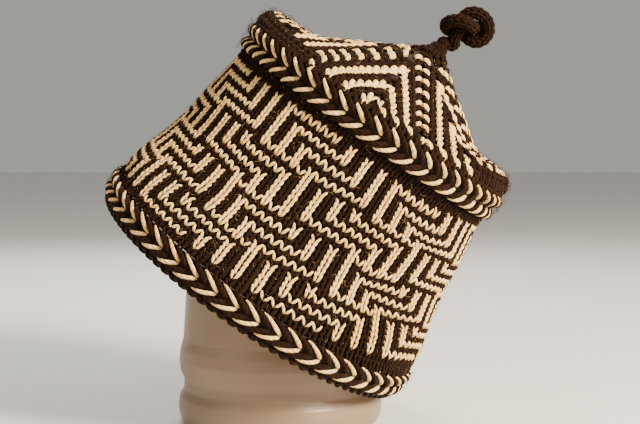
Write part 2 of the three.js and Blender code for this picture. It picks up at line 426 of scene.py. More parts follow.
# Wool: weights in its shade, roughness by weight and start, plies, and bumps by strength
# and depth in metres. Each yarn has its sheen, the sheen's tint and its shine.
DYE_WEIGHT = 0.45
YARN_WEIGHT = 0.40
TONE_WEIGHTS = (0.06, 0.08)
WOOL_ROUGHNESS = (0.15, 0.8)
SHEEN_ROUGHNESS = 0.5
PLIES = 3
PLY_TWIST = 2.4
PLY_BUMP = (0.8, 0.00022)
FUZZ_WEIGHT = 1.6
CREAM_SHEEN = (0.25, (1.0, 0.86, 0.62), 0.2)
DARK_SHEEN = (0.08, (0.45, 0.20, 0.09), 0.1)
BACK_ROUGHNESS = 0.9
BACK_SHINE = 0.2
BACK_SHEEN = 0.15
BACK_BUMP = (0.6, 0.0004)
CREAM_STOPS = (
    (0.0, (0.68, 0.35, 0.12)),
    (0.45, (0.95, 0.60, 0.23)),
    (1.0, (1.0, 0.76, 0.38)),
)
DARK_STOPS = (
    (0.0, (0.0040, 0.0012, 0.0004)),
    (0.5, (0.010, 0.0033, 0.0011)),
    (1.0, (0.029, 0.0105, 0.0038)),
)

# Milky plastic.
CLOUD_STOPS = ((0.3, (0.42, 0.29, 0.185)), (0.7, (0.53, 0.38, 0.26)))
PLASTIC_ROUGHNESS = (0.18, 0.30)
PLASTIC_THROUGH = 0.6
PLASTIC_IOR = 1.45
PLASTIC_SCATTER = 0.25
SCATTER_RADIUS = (1.0, 0.6, 0.4)
SCATTER_SCALE = 0.004
PLASTIC_BUMP = (0.25, 0.0003)

RANDOM_SEED = 7
rng = np.random.default_rng(RANDOM_SEED)


def tub_axis():
    low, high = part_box("stand_tub")
    return np.array([(low.x + high.x) / 2, (low.y + high.y) / 2, 0.0]) / MM


AXIS = tub_axis()


def hat_rotation():
    t, f, s = (math.radians(a) for a in (LEAN_RIGHT, LEAN_FORWARD, HAT_TURN))
    right = np.array([[math.cos(t), 0, math.sin(t)], [0, 1, 0], [-math.sin(t), 0, math.cos(t)]])
    forward = np.array([[1, 0, 0], [0, math.cos(f), -math.sin(f)], [0, math.sin(f), math.cos(f)]])
    turn = np.array([[math.cos(s), -math.sin(s), 0], [math.sin(s), math.cos(s), 0], [0, 0, 1]])
    return right @ forward @ turn


ROTATION = hat_rotation()


def seat(local):
    """From the hat's own frame to the frame of the part."""
    return local @ ROTATION.T + np.array(BRIM_FROM_TUB) + AXIS


def smooth_table(x, rows, key):
    """Smooth value of every column of a table at x, where key is the column to look up."""
    keys = rows[:, key]
    count = len(keys)
    k = np.arange(count)
    a, b = np.maximum(k - 1, 0), np.minimum(k + 1, count - 1)
    slopes = (rows[b] - rows[a]) / (keys[b] - keys[a])[:, None]
    i = np.clip(np.searchsorted(keys, x, side="right") - 1, 0, count - 2)
    span = keys[i + 1] - keys[i]
    t = ((x - keys[i]) / span)[..., None]
    s = span[..., None]
    return (
        (2 * t**3 - 3 * t**2 + 1) * rows[i]
        + (t**3 - 2 * t**2 + t) * s * slopes[i]
        + (3 * t**2 - 2 * t**3) * rows[i + 1]
        + (t**3 - t**2) * s * slopes[i + 1]
    )


def dent(angle, height):
    total = 0.0
    for at, level, half_angle, half_height, depth in DENTS:
        turn = angle - math.radians(at)
        a = np.arctan2(np.sin(turn), np.cos(turn)) / math.radians(half_angle)
        total = total + depth * np.exp(-a * a - ((height - level) / half_height) ** 2)
    return total


def hat_local(angle, height, out):
    """A point in the hat's own frame, so far out from the surface of the hat."""
    angle, height, out = np.broadcast_arrays(angle, height, out)
    low = smooth_table(height - SLOPE_STEP, HAT_SECTIONS, 0)
    high = smooth_table(height + SLOPE_STEP, HAT_SECTIONS, 0)
    here = smooth_table(height, HAT_SECTIONS, 0)
    rise, run = high[..., 1] - low[..., 1], 2 * SLOPE_STEP
    length = np.hypot(rise, run)
    radius = here[..., 1] + out * run / length - dent(angle, height)
    return np.stack([
        radius * np.sin(angle),
        -here[..., 2] * radius * np.cos(angle),
        height - out * rise / length,
    ], -1)


def equal_arcs():
    """Angles that share the way round into equal steps, for a table of heights."""
    heights = np.linspace(*ARC_RANGE, ARC_ROWS)
    angles = math.radians(FIRST_ANGLE) + np.linspace(0, TURN, ARC_STEPS)
    points = hat_local(angles[None, :], heights[:, None], 0.0)
    steps = np.linalg.norm(np.diff(points, axis=1), axis=2)
    way = np.concatenate([np.zeros((len(heights), 1)), np.cumsum(steps, axis=1)], axis=1)
    shares = np.linspace(0, 1, ARC_STEPS)
    table = [np.interp(shares, w / w[-1], angles) for w in way]
    return heights, shares, np.array(table)


ARC_HEIGHTS, ARC_SHARES, ARC_ANGLES = equal_arcs()


def angle_of(column, height):
    """Angle of a stitch column, counted in stitches of equal width round the hat."""
    share = np.mod((column - FIRST_COLUMN) / STITCHES, 1.0)
    x = share * (len(ARC_SHARES) - 1)
    y = np.clip((height - ARC_HEIGHTS[0]) / (ARC_HEIGHTS[1] - ARC_HEIGHTS[0]), 0, ARC_ROWS - 1.001)
    i, j = np.minimum(x.astype(int), len(ARC_SHARES) - 2), y.astype(int)
    u, v = x - i, y - j
    low = ARC_ANGLES[j, i] * (1 - u) + ARC_ANGLES[j, i + 1] * u
    high = ARC_ANGLES[j + 1, i] * (1 - u) + ARC_ANGLES[j + 1, i + 1] * u
    return low * (1 - v) + high * v


def pulled(column, height):
    """Column and height after the pulls, which fade out in the plain bands at both ends."""
    pitch = (PATTERN[1] - PATTERN[0]) / ROUNDS
    row = (PATTERN[1] - height) / pitch
    fade = np.interp(height, (*LOW_BAND, *HIGH_BAND), (0.0, 1.0, 1.0, 0.0))
    right, down = 0.0, 0.0
    for at, level, half_columns, half_rounds, to_right, to_down in PULLS:
        away = np.mod(column - at + STITCHES / 2, STITCHES) - STITCHES / 2
        share = fade * np.exp(-((away / half_columns) ** 2) - ((row - level) / half_rounds) ** 2)
        right, down = right + to_right * share, down + to_down * share
    return column + right, height - down * pitch


def wall_point(column, height, out):
    column, height, out = np.broadcast_arrays(column, height, out)
    column, height = pulled(column, height)
    return seat(hat_local(angle_of(column, height), height, out))


def ring_point(angle, height, out):
    return seat(hat_local(angle, height, out))


def crown_table():
    steps = np.hypot(np.diff(CROWN_SECTIONS[:, 0]), np.diff(CROWN_SECTIONS[:, 1]))
    way = np.concatenate([[0.0], np.cumsum(steps)])
    return np.column_stack([way, CROWN_SECTIONS])


CROWN_WAY = crown_table()


def crown_row(angle, way):
    """Height, radius, depth over width and shift of the crown, with the drawn-in front."""
    here = smooth_table(way, CROWN_WAY, 0)
    turn = angle - math.radians(FRONT_ANGLE)
    share = np.arctan2(np.sin(turn), np.cos(turn)) / math.radians(FRONT_HALF_ANGLE)
    front = np.exp(-(share**4))
    height = here[..., 1] + (here[..., 3] - here[..., 1]) * front
    radius = here[..., 2] + (here[..., 4] - here[..., 2]) * front
    return height, radius, here[..., 5], here[..., 6]


def crown_point(angle, way, out):
    """A point of the crown. way is measured over its side, from the braid to the point."""
    angle, way, out = np.broadcast_arrays(angle, way, out)
    height, radius, flat, shift = crown_row(angle, way)
    low_height, low_radius = crown_row(angle, way - SLOPE_STEP)[:2]
    high_height, high_radius = crown_row(angle, way + SLOPE_STEP)[:2]
    rise, reach = high_height - low_height, high_radius - low_radius
    length = np.maximum(np.hypot(rise, reach), 1e-6)
    radius = np.maximum(radius + out * rise / length, LEAST_RADIUS)
    return seat(np.stack([
        shift + radius * np.sin(angle),
        -flat * radius * np.cos(angle),
        height - out * reach / length,
    ], -1))


def unit(v):
    return v / np.maximum(np.linalg.norm(v, axis=-1, keepdims=True), 1e-9)


def outward(place, a, b, out):
    return unit(place(a, b, out + NORMAL_STEP) - place(a, b, out - NORMAL_STEP))


# Meshes


def make_piece(name, points, faces, material, node, slot, uv=None, tone=None, cream=None):
    """faces is a list of whole-number arrays, one array for each number of corners."""
    mesh = bpy.data.meshes.new(name)
    points = np.asarray(points, float).reshape(-1, 3) * MM
    loops = np.concatenate([f.ravel() for f in faces])
    sizes = np.concatenate([np.full(len(f), f.shape[1]) for f in faces])
    starts = np.concatenate([[0], np.cumsum(sizes)[:-1]])
    mesh.vertices.add(len(points))
    mesh.vertices.foreach_set("co", points.ravel())
    mesh.loops.add(len(loops))
    mesh.loops.foreach_set("vertex_index", loops.astype(np.int32))
    mesh.polygons.add(len(sizes))
    mesh.polygons.foreach_set("loop_start", starts.astype(np.int32))
    mesh.polygons.foreach_set("use_smooth", np.ones(len(sizes), bool))
    if uv is not None:
        layer = mesh.uv_layers.new(name="UVMap")
        layer.data.foreach_set("uv", np.concatenate([u.reshape(-1, 2) for u in uv]).ravel())
    for title, values in (("tone", tone), ("cream", cream)):
        if values is not None:
            attribute = mesh.attributes.new(title, "FLOAT", "POINT")
            attribute.data.foreach_set("value", np.asarray(values, np.float32).ravel())
    mesh.validate()
    mesh.update()
    mesh.materials.append(material)
    piece = bpy.data.objects.new(name, mesh)
    bpy.context.scene.collection.objects.link(piece)
    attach(piece, "root")
    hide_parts(node)


def sweep(centres, normals, wide, deep, sides):
    """Closed yarn strands. centres and normals are strands x steps x 3."""
    count, steps = centres.shape[:2]
    along = unit(np.gradient(centres, axis=1))
    across = unit(np.cross(along, normals))
    up = np.cross(across, along)
    around = np.arange(sides) / sides * TURN
    wide = np.broadcast_to(wide, (count, steps))[..., None, None]
    deep = np.broadcast_to(deep, (count, steps))[..., None, None]
    points = (
        centres[:, :, None]
        + across[:, :, None] * np.cos(around)[:, None] * wide
        + up[:, :, None] * np.sin(around)[:, None] * deep
    )
    grid = np.arange(count * steps * sides).reshape(count, steps, sides)
    turned = np.roll(grid, -1, axis=2)
    quads = np.stack([grid[:, :-1], turned[:, :-1], turned[:, 1:], grid[:, 1:]], -1)
    caps = np.concatenate([grid[:, 0, ::-1], grid[:, -1]])
    moves = np.diff(centres, axis=1, prepend=centres[:, :1])
    way = np.cumsum(np.linalg.norm(moves, axis=2), axis=1)
    u = np.broadcast_to(way[:, :, None], (count, steps, sides))
    v0 = np.broadcast_to(np.arange(sides) / sides, (count, steps, sides))
    v1 = v0 + 1 / sides
    uv_quads = np.stack([
        np.stack([u[:, :-1], v0[:, :-1]], -1),
        np.stack([u[:, :-1], v1[:, :-1]], -1),
        np.stack([u[:, 1:], v1[:, 1:]], -1),
        np.stack([u[:, 1:], v0[:, 1:]], -1),
    ], -2)
    uv_caps = np.stack([
        np.concatenate([u[:, 0], u[:, -1]]),
        np.concatenate([v0[:, 0, ::-1], v0[:, -1]]),
    ], -1)
    return points, [quads.reshape(-1, 4), caps.reshape(-1, sides)], [uv_quads, uv_caps]


def strand_piece(name, centres, normals, wide, deep, sides, material, node, slot):
    points, faces, uv = sweep(centres, normals, wide, deep, sides)
    count, steps = centres.shape[:2]
    tone = np.repeat(rng.normal(0.0, 1.0, count), steps * sides)
    make_piece(name, points, faces, material, node, slot, uv, tone)


def shell_piece(name, loops, material, node, slot, cream=None):
    """Closed ring shell from loops x round x 3, where the loops go out and back."""
    count, round_count = loops.shape[:2]
    grid = np.arange(count * round_count).reshape(count, round_count)
    right = np.roll(grid, -1, axis=1)
    quads = np.stack([grid, right, np.roll(right, -1, axis=0), np.roll(grid, -1, axis=0)], -1)
    make_piece(name, loops, [quads.reshape(-1, 4)], material, node, slot, cream=cream)


# Materials


def math_node(tree, operation, *inputs):
    node = tree.nodes.new("ShaderNodeMath")
    node.operation = operation
    for socket, value in zip(node.inputs, inputs):
        if isinstance(value, bpy.types.NodeSocket):
            tree.links.new(value, socket)
        else:
            socket.default_value = value
    return node.outputs[0]


def noise(tree, scale, detail):
    coords = tree.nodes.new("ShaderNodeTexCoord").outputs["Object"]
    made = tree.nodes.new("ShaderNodeTexNoise")
    made.inputs["Scale"].default_value = scale
    made.inputs["Detail"].default_value = detail
    tree.links.new(coords, made.inputs["Vector"])
    return made.outputs["Fac"]


def ramp(tree, value, stops):
    made = tree.nodes.new("ShaderNodeValToRGB")
    tree.links.new(value, made.inputs["Fac"])
    while len(made.color_ramp.elements) < len(stops):
        made.color_ramp.elements.new(0.5)
    for element, (at, colour) in zip(made.color_ramp.elements, stops):
        element.position = at
        element.color = (*colour, 1.0)
    return made.outputs["Color"]


def material_base(name):
    material = bpy.data.materials.new(name)
    material.use_nodes = True
    tree = material.node_tree
    return material, tree, tree.nodes["Principled BSDF"]


def attribute(tree, name):
    made = tree.nodes.new("ShaderNodeAttribute")
    made.attribute_name = name
    return made.outputs["Fac"]


def wool_shade(tree):
    """0 to 1: long dye changes, fine fibres and a tone for each stitch."""
    dye = math_node(tree, "MULTIPLY", noise(tree, *DYE_NOISE), DYE_WEIGHT)
    fibre = math_node(tree, "MULTIPLY", noise(tree, *YARN_NOISE), YARN_WEIGHT)
    tone = math_node(tree, "MULTIPLY_ADD", attribute(tree, "tone"), *TONE_WEIGHTS)
    return math_node(tree, "ADD", math_node(tree, "ADD", dye, fibre), tone)


def bump(tree, shader, height, strength, distance):
    made = tree.nodes.new("ShaderNodeBump")
    made.inputs["Strength"].default_value = strength
    made.inputs["Distance"].default_value = distance
    tree.links.new(height, made.inputs["Height"])
    tree.links.new(made.outputs["Normal"], shader.inputs["Normal"])


def ply_bump(tree, shader):
    """Ridges of the twisted plies along a strand, and loose fibres."""
    uv = tree.nodes.new("ShaderNodeUVMap")
    uv.uv_map = "UVMap"
    split = tree.nodes.new("ShaderNodeSeparateXYZ")
    tree.links.new(uv.outputs["UV"], split.inputs[0])
    run = math_node(tree, "MULTIPLY", split.outputs["X"], TURN / PLY_TWIST)
    turn = math_node(tree, "MULTIPLY", split.outputs["Y"], TURN * PLIES)
    wave = math_node(tree, "SINE", math_node(tree, "ADD", run, turn))
    fuzz = math_node(tree, "MULTIPLY", noise(tree, *FUZZ_NOISE), FUZZ_WEIGHT)
    bump(tree, shader, math_node(tree, "ADD", wave, fuzz), *PLY_BUMP)


def wool(name, stops, sheen, tint, shine):
    material, tree, shader = material_base(name)
    tree.links.new(ramp(tree, wool_shade(tree), stops), shader.inputs["Base Color"])
    rough = math_node(tree, "MULTIPLY_ADD", noise(tree, *WOOL_NOISE), *WOOL_ROUGHNESS)
    tree.links.new(rough, shader.inputs["Roughness"])
    shader.inputs["Specular IOR Level"].default_value = shine
    shader.inputs["Sheen Weight"].default_value = sheen
    shader.inputs["Sheen Roughness"].default_value = SHEEN_ROUGHNESS
    shader.inputs["Sheen Tint"].default_value = (*tint, 1.0)
    ply_bump(tree, shader)
    return material


def wrong_side_and_shade_wool(name):
    """Wrong side of the knit, where both yarns show, and the dark outer faces of the shells behind
    the knit: painted shade in the gaps between the strands.
    """
    material, tree, shader = material_base(name)
    cream = ramp(tree, wool_shade(tree), CREAM_STOPS)
    dark = ramp(tree, wool_shade(tree), DARK_STOPS)
    mix = tree.nodes.new("ShaderNodeMix")
    mix.data_type = "RGBA"
    tree.links.new(attribute(tree, "cream"), mix.inputs[0])
    tree.links.new(dark, mix.inputs[6])
    tree.links.new(cream, mix.inputs[7])
    tree.links.new(mix.outputs[2], shader.inputs["Base Color"])
    shader.inputs["Roughness"].default_value = BACK_ROUGHNESS
    shader.inputs["Specular IOR Level"].default_value = BACK_SHINE
    shader.inputs["Sheen Weight"].default_value = BACK_SHEEN
    bump(tree, shader, noise(tree, *BACK_NOISE), *BACK_BUMP)
    return material


def tub_plastic(name):
    material, tree, shader = material_base(name)
    cloud = ramp(tree, noise(tree, *CLOUD_NOISE), CLOUD_STOPS)
    tree.links.new(cloud, shader.inputs["Base Color"])
    rough = math_node(tree, "MULTIPLY_ADD", noise(tree, *SATIN_NOISE), *PLASTIC_ROUGHNESS)
    tree.links.new(rough, shader.inputs["Roughness"])
    shader.inputs["Transmission Weight"].default_value = PLASTIC_THROUGH
    shader.inputs["IOR"].default_value = PLASTIC_IOR
    shader.inputs["Subsurface Weight"].default_value = PLASTIC_SCATTER
    shader.inputs["Subsurface Radius"].default_value = SCATTER_RADIUS
    shader.inputs["Subsurface Scale"].default_value = SCATTER_SCALE
    bump(tree, shader, noise(tree, *WAVE_NOISE), *PLASTIC_BUMP)
    return material


# Knitting


def leg_lines(place, columns, bottoms, pitch, splay=LEG_SPLAY, out=LEG_OUT, free=0.0):
    """Both legs of every V stitch: centre lines and normals, two strands a stitch.

    free is 1 where the stitch above has the other colour: there the legs lie wider and lower.
    """
    t = np.linspace(0, 1, LEG_STEPS)
    side = np.repeat([-1.0, 1.0], len(columns))[:, None]
    free = np.tile(np.broadcast_to(free, len(columns)), 2)[:, None]
    columns, bottoms = np.tile(columns, 2)[:, None], np.tile(bottoms, 2)[:, None]
    one_each = (len(columns), 1)
    sway = rng.normal(0, COLUMN_SWAY, one_each)
    ease = (1 - free) * t * t * (3 - 2 * t) + free * t
    spread = splay[0] + (splay[1] + FREE_SPREAD * free - splay[0]) * ease
    spread = spread - FREE_PINCH * free * (1 - t) + rng.normal(0, SPLAY_SWAY, one_each)
    a = columns + side * spread + sway * (1 - t)
    rise = LEG_START + FREE_START * free + (LEG_RISE - FREE_DROP * free) * t
    b = bottoms + pitch * rise + rng.normal(0, ROUND_SWAY, one_each)
    depth = out[0] + (out[1] - out[0]) * np.sin(math.pi * t) ** LEG_ARCH
    depth = depth + rng.normal(0, DEPTH_SWAY, one_each)
    return place(a, b, depth), outward(place, a, b, depth)


def leg_width(steps, wide, thick_end=THICK_END):
    t = np.linspace(0, 1, steps)
    return wide * (thick_end + (1 - thick_end) * np.sin(math.pi * t))


def stitch_piece(name, lines, normals, yarn, material, node, slot, sides=YARN_SIDES):
    """Legs of stitches as one piece. yarn is half the width, and depth over width."""
    wide = leg_width(LEG_STEPS, yarn[0])
    strand_piece(name, lines, normals, wide, wide * yarn[1], sides, material, node, slot)


def key_is_cream():
    chart = np.zeros((ROUNDS, REPEAT), bool)
    for r in range(ROUNDS):
        chart[r, list(KEY_ROUNDS[r % REPEAT])] = True
    chart[0, list(TOP_ROUND_EXTRA)] = True
    return np.tile(chart, STITCHES // REPEAT)


def knit_wall(cream_wool, dark_wool):
    chart = key_is_cream()
    pitch = (PATTERN[1] - PATTERN[0]) / ROUNDS
    rounds, columns = np.mgrid[0:ROUNDS, 0:STITCHES]
    bottoms = PATTERN[1] - (rounds + 1) * pitch
    for name, mask, material, slot in (
        ("wall_cream", chart, cream_wool, "wool_cream"),
        ("wall_dark", ~chart, dark_wool, "wool_dark"),
    ):
        free = (chart != np.roll(chart, 1, axis=0))[mask].astype(float)
        lines, normals = leg_lines(wall_point, columns[mask], bottoms[mask], pitch, free=free)
        stitch_piece(name, lines, normals, WALL_YARN, material, "side_wall", slot, WALL_SIDES)


def knit_bands(dark_wool):
    lines, normals = [], []
    for low, high in (LOW_BAND, HIGH_BAND):
        pitch = (high - low) / BAND_ROUNDS
        rounds, columns = np.mgrid[0:BAND_ROUNDS, 0:STITCHES]
        a, b = leg_lines(wall_point, columns.ravel(), low + rounds.ravel() * pitch, pitch)
        lines.append(a)
        normals.append(b)
    stitch_piece("wall_bands", np.concatenate(lines), np.concatenate(normals), BAND_YARN,
                 dark_wool, "side_wall", "wool_dark", WALL_SIDES)


def wall_back(material):
    """Shell behind the stitches. Its inside has the ridges and floats of the wrong side."""
    chart = key_is_cream()
    pitch = (PATTERN[1] - PATTERN[0]) / ROUNDS
    columns = np.arange(STITCHES * BACK_STEPS) / BACK_STEPS
    heights = np.arange(LOW_BAND[0] + BAND_MARGIN, HIGH_BAND[1] - BAND_MARGIN, pitch / BACK_ROWS)
    a, b = np.meshgrid(columns, heights)
    row = (PATTERN[1] - b) / pitch
    index = np.floor(row).astype(int)
    inside = (index >= 0) & (index < ROUNDS)
    colour = chart[np.clip(index, 0, ROUNDS - 1), np.floor(a + 0.5).astype(int) % STITCHES]
    middle = 0.5 + RIDGE_WAVE * np.cos(TURN * a)
    ridge = np.exp(-(((row - index) - middle) / RIDGE_WIDTH) ** 2)
    front = wall_point(a[::FRONT_STEPS], b[::FRONT_STEPS], FRONT_DEPTH)
    back = wall_point(a, b, -WALL + RIDGE_HEIGHT * (1 - ridge))
    cream_back = np.where(inside, np.where(ridge > RIDGE_COLOUR, colour, ~colour), False)
    loops = np.concatenate([front, back[::-1]])
    # The outer face gets cream 0, dark all over: painted shade in the gaps between the stitches.
    cream = np.concatenate([np.zeros(front.shape[:2]), cream_back[::-1].astype(float)])
    shell_piece("wall_back", loops, material, "side_wall", "wool_dark", cream=cream)


def braid_strands(band, upper, dark_half):
    """One row of slanted strands: centre lines and normals."""
    pair = TURN / BRAID_PAIRS
    first = math.radians(band["angle"])
    tips = first + (np.arange(BRAID_PAIRS) + (0.5 if dark_half else 0.0)) * pair
    t = np.linspace(0, 1, BRAID_STEPS)
    radius = smooth_table(np.array([band["tip"]]), HAT_SECTIONS, 0)[0, 1] + band["bulge"]
    edge = band["to"] - BRAID_TOP if upper else band["from"] + BRAID_FOOT
    sway = rng.normal(0, BRAID_SWAY, (BRAID_PAIRS, 1))
    angle = tips[:, None] - (1 - t) * band["run"] / radius + sway * (1 - t)
    crossing = (BRAID_CROSSING if upper else -BRAID_CROSSING) * t
    height = band["tip"] + (edge - band["tip"]) * (1 - t**BRAID_CURVE) + crossing + 0 * angle
    start, span = BRAID_ARCH_SPAN
    lift = np.sin(math.pi * np.clip(t * span + start, 0, 1)) ** BRAID_ARCH
    out = BRAID_SUNK + (band["bulge"] + BRAID_LIFT) * lift + 0 * angle
    return ring_point(angle, height, out), outward(ring_point, angle, height, out)


def strand_width(wide):
    t = np.linspace(0, 1, BRAID_STEPS)
    grow = STRAND_START + (1 - STRAND_START) * np.clip(t / STRAND_GROWN, 0, 1) ** STRAND_GROWTH
    closed, length = STRAND_CLOSING
    end = np.sqrt(np.clip((closed - t) / length, 0, 1))
    return wide * grow * np.maximum(end, STRAND_TIP)


def knit_braid(name, band, cream_wool, dark_wool):
    for half, wide, material, slot, ending in (
        (False, band["yarn"], cream_wool, "wool_cream", "_cream"),
        (True, BRAID_DARK_YARN, dark_wool, "wool_dark", "_dark"),
    ):
        lines, normals = zip(*(braid_strands(band, upper, half) for upper in (True, False)))
        thick = strand_width(wide)
        strand_piece(name + ending, np.concatenate(lines), np.concatenate(normals), thick,
                     thick * BRAID_FLAT, BRAID_SIDES, material, name, slot)


def dark_shell(name, loops, material, node):
    loops = np.array(loops)
    # Dark all over. Behind the braids and the crown the outer face is painted shade in the gaps
    # between the strands.
    shell_piece(name, loops, material, node, "wool_dark", np.zeros(loops.shape[:2]))


def braid_back(name, band, material):
    heights = np.linspace(band["from"], band["to"], BRAID_BACK_ROWS)
    bulge = band["bulge"] * BRAID_BACK_BULGE
    arch = np.sin(math.pi * np.linspace(0, 1, BRAID_BACK_ROWS))
    angles = np.arange(SHELL_COLUMNS) / SHELL_COLUMNS * TURN
    # Dark outer face: painted shade in the gaps between the braid's strands.
    front = [ring_point(angles, h, BRAID_BACK_DEPTH + bulge * a) for h, a in zip(heights, arch)]
    ridges = [-WALL + BRAID_BACK_RIDGE * (i % 2) for i in range(BRAID_BACK_ROWS)]
    back = [ring_point(angles, h, ridge) for h, ridge in zip(heights, ridges)]
    dark_shell(name + "_back", front + back[::-1], material, name)


def knit_edge(dark_wool):
    """Cast-on loops that wrap the rolled edge from the outside to the inside."""
    turn = np.linspace(*EDGE_TURNS, EDGE_STEPS) * math.pi + EDGE_LEAN
    column = np.arange(STITCHES)[:, None] + np.linspace(0, EDGE_RUN, EDGE_STEPS)
    out = -WALL / 2 + EDGE_RADII[0] * np.cos(turn) + 0 * column
    height = EDGE_HEIGHT - EDGE_RADII[1] * np.sin(turn) + 0 * column
    angle = column / STITCHES * TURN
    lines = ring_point(angle, height, out)
    core = ring_point(angle, EDGE_HEIGHT + 0 * out, -WALL / 2 + 0 * out)
    wide = leg_width(EDGE_STEPS, EDGE_YARN[0], EDGE_THICK_END)
    strand_piece("edge_loops", lines, unit(lines - core), wide, wide * EDGE_YARN[1], YARN_SIDES,
                 dark_wool, "brim_edge", "wool_dark")


def edge_core(material):
    around = np.arange(EDGE_CORE_SIDES) / EDGE_CORE_SIDES * TURN
    angles = np.arange(SHELL_COLUMNS) / SHELL_COLUMNS * TURN
    wide, high = EDGE_CORE_RADII
    dark_shell("edge_core", [
        ring_point(angles, EDGE_CORE_HEIGHT + high * math.sin(s), -WALL / 2 + wide * math.cos(s))
        for s in around
    ], material, "brim_edge")


# Crown


def crown_radius(way):
    """Mean radius of the crown where its front isn't drawn in."""
    radius, flat = crown_row(math.radians(FRONT_ANGLE + 90), np.asarray(way, float))[1:3]
    return radius * (1 + flat) / 2


def ladder_angle(w, way):
    """Angle of a ladder, where w counts on past the last one."""
    first = np.interp(way, *zip(*RIGHT_LADDER))
    last = np.interp(way, *zip(*LEFT_LADDER)) + 360
    turns, w = divmod(w, WEDGES)
    return np.radians(first + (last - first) * w / (WEDGES - 1) + 360 * turns)


def half_wedge(w, side, way):
    """Angle from a ladder to the middle of the wedge beside it."""
    if (w, side) == (0, -1):
        return ladder_angle(0, way) - np.radians(np.interp(way, *zip(*FRONT_MIDDLE)))
    if (w, side) == (WEDGES - 1, 1):
        return TURN + np.radians(np.interp(way, *zip(*FRONT_MIDDLE))) - ladder_angle(w, way)
    return np.abs(ladder_angle(w + side, way) - ladder_angle(w, way)) / 2


def half_wedges():
    """Every half wedge: ladder, side, width of a column and dark rounds at the bottom."""
    for w in range(WEDGES):
        for side in (-1, 1):
            front = (w, side) in ((WEDGES - 1, 1), (0, -1), (0, 1))
            columns = {(WEDGES - 1, 1): LEFT_COLUMN, (0, -1): RIGHT_COLUMN}
            yield w, side, columns.get((w, side), OTHER_COLUMN), 0 if front else DARK_ROUNDS


def wedge_place(w, side):
    """Place by the way across from a ladder, in millimetres, and the way up the crown."""
    def place(across, way, out):
        across, way, out = np.broadcast_arrays(across, way, out)
        half = half_wedge(w, side, way)
        share = across / np.maximum(crown_radius(way) * half, LEAST_HALF)
        angle = ladder_angle(w, way) + side * np.clip(share, -WEDGE_REACH, WEDGE_REACH) * half
        turn = np.degrees(np.arctan2(np.sin(angle), np.cos(angle)))
        stretch = np.interp(turn, *zip(*ROUND_STRETCH)) * np.interp(way, STRETCH_END, (1, 0))
        return crown_point(angle, way * (1 + stretch), out)
    return place


def crown_cells(w, side, column, dark):
    """Column, round and colour of every stitch of half a wedge."""
    for k in range(CROWN_ROUNDS):
        way = PATTERN_START + k * CROWN_ROUND
        middle_way = way + CROWN_ROUND / 2
        room = float(crown_radius(np.array(middle_way)) * half_wedge(w, side, middle_way))
        width = min(float(np.interp(middle_way, *zip(*column))), room)
        plain = way > CREAM_END or k < dark
        for j in range(MOST_COLUMNS):
            middle = (j + 0.5) * width
            if middle > room + LEAST_HALF:
                break
            cream = k % 2 == 0 if j == 0 else j % 2 == 0
            yield middle, width, way, j == 0 and not plain, cream and not plain


def crown_legs(place, cells, ladder_rise):
    """Stitches of the crown: a thick leg that leans to the ladder and a thin one."""
    t = np.linspace(0, 1, LEG_STEPS)
    middle, width, way, rung = (np.array([c[i] for c in cells], float)[:, None] for i in range(4))
    lines, normals, sizes = [], [], []
    for lean, size, below in ((-1.0, 1.0, 0.0), (1.0, THIN_LEG, RUNG_BELOW)):
        spread = lean * (CROWN_SPLAY[0] + (CROWN_SPLAY[1] - CROWN_SPLAY[0]) * t * t * (3 - 2 * t))
        rise = CROWN_LEG[0] + CROWN_LEG[1] * t
        spread = spread + rung * (-np.interp(t, (0, 1), LADDER_REACH) - spread)
        rise = rise + rung * (np.interp(t, (0, 1), ladder_rise) - below - rise)
        a = middle + spread * width + rng.normal(0, CROWN_SWAY, middle.shape)
        b = way + CROWN_ROUND * rise + rng.normal(0, ROUND_SWAY, middle.shape)
        arch = np.sin(math.pi * t) ** LEG_ARCH
        out = CROWN_SUNK + (CROWN_LIFT + RUNG_LIFT * rung) * arch + 0 * a
        lines.append(place(a, b, out))
        normals.append(outward(place, a, b, out))
        sizes.append(size * width / CROWN_COLUMN * np.ones_like(middle))
    return np.concatenate(lines), np.concatenate(normals), np.concatenate(sizes)


def knit_crown(cream_wool, dark_wool):
    for wanted, name, material, slot in (
        (True, "crown_cream", cream_wool, "wool_cream"),
        (False, "crown_dark", dark_wool, "wool_dark"),
    ):
        parts = []
        for w, side, column, dark in half_wedges():
            cells = [c for c in crown_cells(w, side, column, dark) if c[-1] == wanted]
            rise = LEFT_LADDER_RISES[side] if w == WEDGES - 1 else LADDER_RISE
            parts.append(crown_legs(wedge_place(w, side), cells, rise))
        lines, normals, sizes = (np.concatenate(p) for p in zip(*parts))
        wide = leg_width(LEG_STEPS, CROWN_YARN[0])[None, :] * sizes
        strand_piece(name, lines, normals, wide, wide * CROWN_YARN[1], YARN_SIDES, material,
                     "crown", slot)


def crown_place(columns):
    """Place by column, way up the crown and height above it, with so many columns round."""
    def place(column, way, out):
        return crown_point(np.asarray(column) / columns * TURN, way, out)
    return place


def knit_roll(dark_wool):
    """The dark round in the crease between the braid and the crown."""
    bottoms = np.full(STITCHES, ROLL_START)
    lines, normals = leg_lines(crown_place(STITCHES), np.arange(STITCHES), bottoms, ROLL_ROUND)
    stitch_piece("crown_roll", lines, normals, ROLL_YARN, dark_wool, "crown", "wool_dark")


def knit_collar(dark_wool):
    """The dark rounds that draw the crown in round the cord."""
    rows, columns = np.mgrid[0:COLLAR_ROUNDS, 0:COLLAR_COLUMNS]
    bottoms = COLLAR_FROM + rows.ravel() * COLLAR_ROUND
    lines, normals = leg_lines(
        crown_place(COLLAR_COLUMNS), columns.ravel(), bottoms, COLLAR_ROUND, out=COLLAR_OUT)
    stitch_piece("crown_collar", lines, normals, COLLAR_YARN, dark_wool, "crown", "wool_dark")


